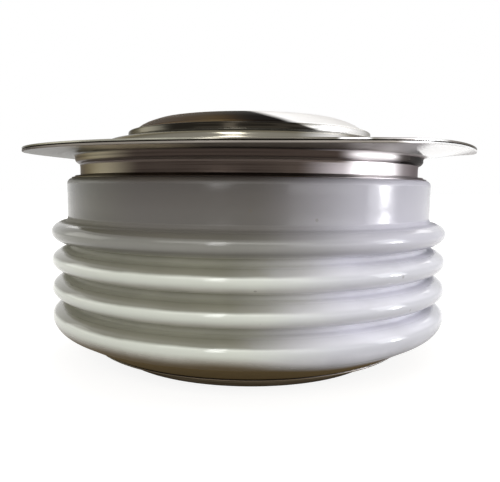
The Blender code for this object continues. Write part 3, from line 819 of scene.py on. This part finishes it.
terminalValues = {
    "reach": 36.0, "width": 4.75, "hole": 1.1, "widens": (1.2, 2.4),    # where a tab widens, from its root
    "gateRoot": 27.6, "gateNeck": 1.1, "gateThick": 0.8, "gateSoft": 0.09,
    "auxRoot": 26.2, "auxNeck": 1.975, "auxThick": 0.5, "auxSoft": 0.06, "auxAngle": 20,
    "dent": 0.45, "dentAside": 0.95, "dentAt": 27.1, "dentDepth": 0.12,  # the marks of two weld spots
    "barrel": 1.65, "barrelBore": 1.15, "barrelStart": 24.2, "barrelFloor": 27.2, "barrelEnd": 28.2,
    "barrelEdge": 0.2, "crimp": (0.16, 0.35),
    "tubeBore": 0.65, "tube": 1.05, "collarBore": 1.12, "collar": 2.0, "fillet": (0.3, 0.25), "fineEdge": 0.1,
}


def tabShape(root, neck, thick, height):
    # a flat tab along +Y: a few corners, the end ones rounded, pulled up to its thickness
    v = terminalValues
    half = v["width"] / 2
    first, last = (root + way for way in v["widens"])
    corners = [
        (-neck, root), (neck, root), (neck, first), (half, last), (half, v["reach"]), (-half, v["reach"]),
        (-half, last), (-neck, first),
    ]
    shape = bmesh.new()
    ring = [shape.verts.new((x * mm, y * mm, (height - thick / 2) * mm)) for x, y in corners]
    shape.faces.new(ring)
    bmesh.ops.bevel(
        shape, geom=ring[4:6], offset=half * 0.995 * mm, offset_type="OFFSET", affect="VERTICES", segments=14,
        profile=0.5, material=-1,
    )
    lifted = bmesh.ops.extrude_face_region(shape, geom=shape.faces[:])["geom"]
    lifted = [part for part in lifted if isinstance(part, bmesh.types.BMVert)]
    bmesh.ops.translate(shape, vec=(0, 0, thick * mm), verts=lifted)
    bmesh.ops.recalc_face_normals(shape, faces=shape.faces)
    return shape


def softenEdges(piece, width):
    soft = piece.modifiers.new("edges", "BEVEL")
    soft.width = width * mm
    soft.segments = 3
    soft.limit_method = "ANGLE"
    soft.angle_limit = radians(40)


def buildGateTerminal():
    # the tab on its crimped barrel, the tube and its collar, all along +Y at the gate's height
    v = terminalValues
    height = ceramicValues["gateHeight"]
    holeAt = v["reach"] - v["width"] / 2
    shape = tabShape(v["gateRoot"], v["gateNeck"], v["gateThick"], height)
    blade = newPiece("gateTab", shape, metals["tinnedBrass"], ("gate_terminal",))
    cutAway(blade, [rodShape(v["hole"], (0, holeAt, height - overcut), (0, holeAt, height + overcut))])
    softenEdges(blade, v["gateSoft"])
    edge, outer, floor = v["barrelEdge"], v["barrel"], v["barrelFloor"]
    start, end = v["barrelStart"], v["barrelEnd"]
    barrel = [
        (0.0, floor), (v["barrelBore"], floor), (v["barrelBore"], start + 0.1),
        bowAt(outer - edge, start + edge, edge, -90, 0, 5),
        (outer, 24.9), ((outer, 25.5), v["crimp"], -90, -270, 8), (outer, 26.1),
        ((outer, 26.7), v["crimp"], -90, -270, 8), (outer, 27.4),
        bowAt(outer - edge, end - edge, edge, 0, 90, 5), (0.0, end),
    ]
    newPiece("gateBarrel", layAlongY(spinSection(barrel, 64), height), metals["tinnedBrass"])
    edge = v["fineEdge"]
    start, end = (corner.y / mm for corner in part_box("gate_tube"))
    tube = [
        (v["tubeBore"], start), (v["tube"], start), bowAt(v["tube"] - edge, end - edge, edge, 0, 90, 4),
        (v["tubeBore"], end),
    ]
    tube = layAlongY(spinSection(tube, 48), height)
    newPiece("gateTube", tube, metals["feedNickel"], ("gate_tube",))
    start, end = (corner.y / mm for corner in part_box("gate_tube_collar"))
    bore, outer, (wide, deep) = v["collarBore"], v["collar"], v["fillet"]
    collar = [
        (bore, start), bowAt(outer - edge, start + edge, edge, -90, 0, 4),
        bowAt(outer - edge, end - edge, edge, 0, 90, 4),
        ((bore + wide, end + deep), (wide, deep), -90, -180, 6), (bore, end + deep + 0.1),
    ]
    collar = layAlongY(spinSection(collar, 64), height)
    newPiece("gateCollar", collar, metals["feedNickel"], ("gate_tube_collar",))


def buildAuxiliaryTerminal():
    # the tab that is spot welded to the flange, turned round from the gate
    v = terminalValues
    low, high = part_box("auxiliary_cathode_terminal")
    middle = (low.z + high.z) / 2 / mm
    holeAt = v["reach"] - v["width"] / 2
    shape = tabShape(v["auxRoot"], v["auxNeck"], v["auxThick"], middle)
    tools = [rodShape(v["hole"], (0, holeAt, middle - overcut), (0, holeAt, middle + overcut))]
    for aside in (-v["dentAside"], v["dentAside"]):
        floor = middle + v["auxThick"] / 2 - v["dentDepth"]
        tools.append(rodShape(v["dent"], (aside, v["dentAt"], floor), (aside, v["dentAt"], middle + 1), 24))
    turn = Matrix.Rotation(radians(v["auxAngle"]), 4, "Z")
    for part in (shape, *tools):
        bmesh.ops.transform(part, matrix=turn, verts=part.verts)
    tab = newPiece(
        "auxiliaryTab", shape, metals["tinnedBrass"], ("auxiliary_cathode_terminal",)
    )
    cutAway(tab, tools)
    softenEdges(tab, v["auxSoft"])


# sealed inner pieces keep the shapes of the CAD
innerFinish = {
    "silicon_wafer": inner["siliconWafer"], "wafer_edge_seal": inner["siliconeRubber"],
    "anode_silver_foil": metals["silverFoil"], "cathode_silver_foil": metals["silverFoil"],
    "anode_molybdenum_disc": metals["molybdenumDisc"], "cathode_molybdenum_disc": metals["molybdenumDisc"],
    "locating_ring": inner["whitePlastic"], "gate_guide_washer": inner["whitePlastic"],
    "gate_insulator_cup": inner["whitePlastic"], "gate_lead_sleeve": inner["whitePlastic"],
    "gate_contact_pin": metals["silverFoil"], "gate_lead": metals["silverFoil"],
    "gate_spring": metals["springSteel"],
}

buildCeramic()
buildWeldRing()
buildLid()
buildCathodePole()
buildAnodePole()
buildBrazes()
buildGateTerminal()
buildAuxiliaryTerminal()
for name, finish in innerFinish.items():
    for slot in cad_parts[name].material_slots:
        slot.material = finish
print("pieces built")


# strengths and distances from the axis: the floor glows a little less near the part, so that its shadow
# shows, and what mirrors it sees it darker still close to the foot, where a glowing floor has no shadow
studioValues = {
    "skyLight": 0.3,        # what the white surroundings give to matt surfaces
    "floorRadius": 3.0, "floorDrop": 0.02 * mm, "floorColor": (0.3, 0.29, 0.275),
    "glow": (0.86, 1.0), "glowFrom": (0.045, 0.13), "shade": (0.25, 1.0), "shadeFrom": (0.018, 0.042),
}


def backgroundSeen(tree):
    # 1 for rays that show the background: camera, glossy and transmission
    rays = tree.nodes.new("ShaderNodeLightPath").outputs
    seen = calc(tree, "MAXIMUM", rays["Is Camera Ray"], rays["Is Glossy Ray"])
    return calc(tree, "MAXIMUM", seen, rays["Is Transmission Ray"])


def buildFloor():
    v = studioValues
    shape = bmesh.new()
    bmesh.ops.create_circle(shape, cap_ends=True, segments=96, radius=v["floorRadius"])
    bmesh.ops.translate(shape, vec=(0, 0, -v["floorDrop"]), verts=shape.verts)
    floor = meshObject("floor", shape)
    finish = bpy.data.materials.new("paleFloor")
    finish.use_nodes = True
    tree = finish.node_tree
    tree.nodes.remove(tree.nodes["Principled BSDF"])
    matt = addNode(tree, "ShaderNodeBsdfDiffuse", None, {"Color": (*v["floorColor"], 1.0)})
    place = tree.nodes.new("ShaderNodeTexCoord").outputs["Object"]
    away = addNode(tree, "ShaderNodeVectorMath", {"operation": "LENGTH"}, {0: place}).outputs["Value"]
    glow = ramp(tree, away, *v["glowFrom"], *v["glow"])
    shade = ramp(tree, away, *v["shadeFrom"], *v["shade"])
    # the camera sees no such shade, only the shadows that fall on the floor
    camera = tree.nodes.new("ShaderNodeLightPath").outputs["Is Camera Ray"]
    seen = calc(tree, "MAXIMUM", calc(tree, "MULTIPLY", backgroundSeen(tree), shade), camera)
    lit = addNode(tree, "ShaderNodeEmission", None, {"Strength": calc(tree, "MULTIPLY", seen, glow)})
    both = addNode(tree, "ShaderNodeAddShader", None, {0: matt.outputs[0], 1: lit.outputs[0]})
    feed(tree, tree.nodes["Material Output"], {"Surface": both.outputs[0]})
    floor.data.materials.append(finish)


def buildWorld():
    world = bpy.data.worlds.new("whiteRoom")
    bpy.context.scene.world = world
    world.use_nodes = True
    tree = world.node_tree
    strength = {"Value": backgroundSeen(tree), "To Min": studioValues["skyLight"], "To Max": 1.0}
    strength = addNode(tree, "ShaderNodeMapRange", None, strength).outputs["Result"]
    feed(tree, tree.nodes["Background"], {"Color": (1.0, 1.0, 1.0, 1.0), "Strength": strength})


# each lamp: width and height in metres, radiance and colour, and either its place and turn, or the degrees
# from the front toward +X, the elevation and the distance
lampValues = {
    "windowLamp": {
        "around": 82.5, "up": 14, "away": 0.5, "size": (0.185, 0.3), "radiance": 4.0,
        "color": (0.95, 0.96, 1.0),
    },
    "glintLamp": {
        "around": 84.4, "up": 5, "away": 0.48, "size": (0.05, 0.09), "radiance": 22.0,
        "color": (1.0, 1.0, 1.0),
    },
    "leftLamp": {
        "around": -102, "up": 18, "away": 0.6, "size": (0.4, 0.24), "radiance": 1.3,
        "color": (1.0, 1.0, 0.95),
    },
    "sideLamp": {
        "around": 45, "up": 9, "away": 0.6, "size": (0.5, 0.18), "radiance": 1.5,
        "color": (0.97, 0.97, 1.0),
    },
    "frontLamp": {
        "around": -8, "up": 34, "away": 0.6, "size": (0.95, 0.2), "radiance": 2.0,
        "color": (1.0, 1.0, 0.96),
    },
    "backLamp": {
        "around": 176, "up": 34, "away": 0.6, "size": (0.9, 0.24), "radiance": 1.5,
        "color": (1.0, 0.99, 0.97),
    },
    "stripLamp": {
        "place": (-0.117, -0.383, 0.22), "turn": (90, 0, -17), "size": (0.066, 0.32), "radiance": 6.5,
        "color": (1.0, 1.0, 1.0),
    },
    "topLamp": {
        "place": (-0.057, 0.06, 0.5), "turn": (0, 0, 0), "size": (0.062, 0.26), "radiance": 16.0,
        "color": (1.0, 1.0, 1.0),
    },
}


def buildLamps():
    target = Vector((0, 0, 0.014))      # about the middle of the part
    for name, v in lampValues.items():
        light = bpy.data.lights.new(name, "AREA")
        light.shape = "RECTANGLE"
        light.size, light.size_y = v["size"]
        light.energy = v["radiance"] * pi * v["size"][0] * v["size"][1]
        light.color = v["color"]
        lamp = bpy.data.objects.new(name, light)
        if "place" in v:
            lamp.location = v["place"]
            lamp.rotation_euler = [radians(turn) for turn in v["turn"]]
        else:
            around, up = radians(v["around"]), radians(v["up"])
            toward = Vector((sin(around) * cos(up), -cos(around) * cos(up), sin(up)))
            lamp.location = target + toward * v["away"]
            lamp.rotation_euler = toward.to_track_quat("Z", "Y").to_euler()
        lamp.visible_camera = False
        bpy.context.scene.collection.objects.link(lamp)


# place in metres, degrees that it looks down and rolls, and the lens in millimetres
cameraValues = {
    "place": (0.0, -0.07738, 0.02108), "down": 5.1, "roll": 0.5,
    "lens": 41.84, "sensor": 36.0, "shift": 0.003, "clip": (0.001, 50.0),
}


def buildCamera():
    v = cameraValues
    lens = bpy.data.cameras.new("camera")
    lens.sensor_fit = "HORIZONTAL"
    lens.sensor_width = v["sensor"]
    lens.lens = v["lens"]
    lens.shift_x = v["shift"]
    lens.clip_start, lens.clip_end = v["clip"]
    camera = bpy.data.objects.new("camera", lens)
    camera.matrix_world = (
        Matrix.Translation(v["place"]) @ Matrix.Rotation(radians(90 - v["down"]), 4, "X")
        @ Matrix.Rotation(radians(v["roll"]), 4, "Z")
    )
    bpy.context.scene.collection.objects.link(camera)
    bpy.context.scene.camera = camera


buildFloor()
buildWorld()
buildLamps()
buildCamera()
bpy.context.scene.view_settings.view_transform = "Standard"
print("studio ready")
